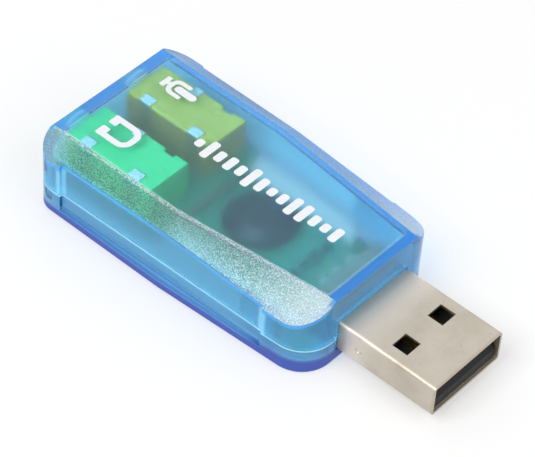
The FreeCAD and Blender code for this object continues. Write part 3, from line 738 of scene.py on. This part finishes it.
def level_bars():
    """A row of white bars that rise and fall like a sound level."""
    recipe = Recipe("level_bars", {
        "Bar Count": "Int", "Pitch": "Float", "Bar Width": "Float", "Lowest": "Float", "Highest": "Float",
        "Corner Radius": "Float", "Ink Thickness": "Float", "Ink": "Material"})
    given = recipe.given
    step = recipe.node("ShaderNodeCombineXYZ", None, {"X": given["Pitch"]})
    row = recipe.node("GeometryNodeMeshLine", {"mode": "OFFSET"}, {
        "Count": given["Bar Count"], "Offset": step})
    number = recipe.node("GeometryNodeInputIndex")
    wave_turn, wave_share, ripple_turn, ripple_share = 0.83, 0.62, 2.15, 0.42
    wave = recipe.maths("SINE", recipe.maths("MULTIPLY", number, wave_turn))
    ripple = recipe.maths("SINE", recipe.maths("MULTIPLY", number, ripple_turn))
    slow = recipe.maths("MULTIPLY", wave, wave_share)
    level = recipe.maths("ABSOLUTE", recipe.maths("MULTIPLY_ADD", ripple, ripple_share, slow))
    span = recipe.maths("SUBTRACT", given["Highest"], given["Lowest"])
    height = recipe.maths("MULTIPLY_ADD", level, span, given["Lowest"])
    tall = recipe.node("ShaderNodeCombineXYZ", None, {"X": 1.0, "Y": height, "Z": 1.0})
    bar = recipe.node("GeometryNodeCurvePrimitiveQuadrilateral", None, {
        "Width": given["Bar Width"], "Height": 1.0})
    bars = recipe.node("GeometryNodeInstanceOnPoints", None, {"Points": row, "Instance": bar, "Scale": tall})
    lines = recipe.node("GeometryNodeRealizeInstances", None, {"Geometry": bars})
    rounded = recipe.node("GeometryNodeFilletCurve", {"mode": "POLY"}, {
        "Curve": lines, "Count": 6, "Radius": given["Corner Radius"], "Limit Radius": True})
    filled = recipe.node("GeometryNodeFillCurve", {"mode": "NGONS"}, {"Curve": rounded})
    raised = recipe.node("GeometryNodeExtrudeMesh", None, {
        "Mesh": filled, "Offset Scale": given["Ink Thickness"], "Individual": False})
    under = recipe.node("GeometryNodeFlipFaces", None, {"Mesh": filled})
    both = recipe.node("GeometryNodeJoinGeometry", None, {"Geometry": [raised, under]})
    recipe.finish(both, given["Ink"])
    mesh = recipe.make("level_bars", bpy.data.meshes.new("level_bars_base"), {
        "Bar Count": 14, "Pitch": 1.62, "Bar Width": 1.05, "Lowest": 1.3, "Highest": 3.5,
        "Corner Radius": 0.35, "Ink Thickness": INK_THICKNESS, "Ink": INK})
    first_bar = (-13.6, 0.6, TOP - INK_SUNK)
    mesh.transform(Matrix.Scale(MM, 4) @ Matrix.Translation(first_bar))
    return add_piece("level_bars", mesh, INK)


def solder_recipe():
    """Drops of solder on the points of a base mesh."""
    recipe = Recipe("solder_drops", {"Drop Size": "Vector", "Solder": "Material"})
    ball = recipe.node("GeometryNodeMeshUVSphere", None, {"Segments": 20, "Rings": 12, "Radius": 1.0})
    points = recipe.node("GeometryNodeMeshToPoints", None, {"Mesh": recipe.given["Geometry"]})
    drops = recipe.node("GeometryNodeInstanceOnPoints", None, {
        "Points": points, "Instance": ball, "Scale": recipe.given["Drop Size"]})
    smooth = recipe.node("GeometryNodeSetShadeSmooth", None, {"Geometry": drops})
    recipe.finish(smooth, recipe.given["Solder"])
    return recipe


def solder_drops(recipe, name, places, size):
    base = bpy.data.meshes.new(f"{name}_base")
    base.from_pydata(places, [], [])
    mesh = recipe.make(name, base, {"Drop Size": size, "Solder": SOLDER})
    return add_piece(name, mesh, SOLDER)


PIN_THICKNESS = 0.25 * MM
PIN_SIDES = {"sleeve": 0, "ring": 1, "tip": 0}
PIN_DROP = (0.8 * MM, 0.8 * MM, 0.5 * MM)
TAIL_DROP = (1.05 * MM, 0.68 * MM, 0.36 * MM)


def pin_places():
    """Where the pins of the sockets come out below the board."""
    places = []
    for jack in ("headphone_jack", "microphone_jack"):
        for spring, side in PIN_SIDES.items():
            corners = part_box(f"{jack}_{spring}_contact")
            inward = PIN_THICKNESS / 2 if side == 0 else -PIN_THICKNESS / 2
            places.append(((corners[0].x + corners[1].x) / 2, corners[side].y + inward, BOARD_BOTTOM * MM))
    return places


def tail_places():
    """Where the tails of the plug's contacts lie on the board."""
    tail = 1.1 * MM
    places = []
    contacts = (
        "usb_power_contact", "usb_data_minus_contact", "usb_data_plus_contact", "usb_ground_contact")
    for contact in contacts:
        low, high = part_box(contact)
        places.append((low.x + tail, (low.y + high.y) / 2, BOARD_TOP * MM))
    return places


headphone_sign()
microphone_sign()
level_bars()
drops = solder_recipe()
solder_drops(drops, "jack_solder", pin_places(), PIN_DROP)
solder_drops(drops, "plug_solder", tail_places(), TAIL_DROP)


# Floor, light and camera

def lay_floor():
    """A wide pale floor that looks white and keeps a soft shadow."""
    half, glow = 4.0, 0.4
    mesh = bpy.data.meshes.new("floor")
    corners = [(-half, -half, 0), (half, -half, 0), (half, half, 0), (-half, half, 0)]
    mesh.from_pydata(corners, [], [(0, 1, 2, 3)])
    material, f = new_finish("pale_floor")
    pale = f.plain(Base_Color=(0.86, 0.86, 0.86, 1.0), Roughness=0.9, Specular_IOR_Level=0.1)
    white = f.node("ShaderNodeEmission", None, {"Color": (1.0, 1.0, 1.0, 1.0), "Strength": 1.0})
    f.show(f.blend(f.seen_directly() * glow, pale, white))
    mesh.materials.append(material)
    floor = bpy.data.objects.new("floor", mesh)
    scene.collection.objects.link(floor)


def light_room():
    """A white room: even light all round."""
    world = bpy.data.worlds.new("white_room")
    world.use_nodes = True
    scene.world = world
    f = Finish(world.node_tree, "ShaderNodeOutputWorld")
    even = 0.62
    strength = even + f.seen_directly() * (1.0 - even)
    f.show(f.node("ShaderNodeBackground", None, {"Color": (1.0, 1.0, 1.0, 1.0), "Strength": strength}))


def hang_lamp(name, place, size, watts):
    """A square soft lamp that points at the part."""
    lamp = bpy.data.lights.new(name, "AREA")
    lamp.shape = "SQUARE"
    lamp.size = size
    lamp.energy = watts
    light = bpy.data.objects.new(name, lamp)
    light.location = place
    light.rotation_euler = (-Vector(place)).to_track_quat("-Z", "Y").to_euler()
    scene.collection.objects.link(light)


def set_camera():
    """The photograph's viewpoint, for a frame of 535 by 457 pixels."""
    sensor, focal_pixels, frame_width = 36.0, 2600.0, 535.0
    place, turn = (0.128177, -0.162739, 0.22315), (43.6512, -3.1127, 41.9250)
    data = bpy.data.cameras.new("camera")
    data.sensor_fit = "HORIZONTAL"
    data.sensor_width = sensor
    data.lens = focal_pixels * sensor / frame_width
    data.clip_start = 0.01
    data.clip_end = 50.0
    camera = bpy.data.objects.new("camera", data)
    camera.location = place
    camera.rotation_euler = [math.radians(angle) for angle in turn]
    scene.collection.objects.link(camera)
    scene.camera = camera


lay_floor()
light_room()
hang_lamp("key_lamp", place=(-0.06, -0.53, 0.68), size=0.45, watts=4.4)
hang_lamp("fill_lamp", place=(0.62, 0.1, 0.55), size=0.5, watts=1.6)
set_camera()
scene.view_settings.view_transform = "Standard"
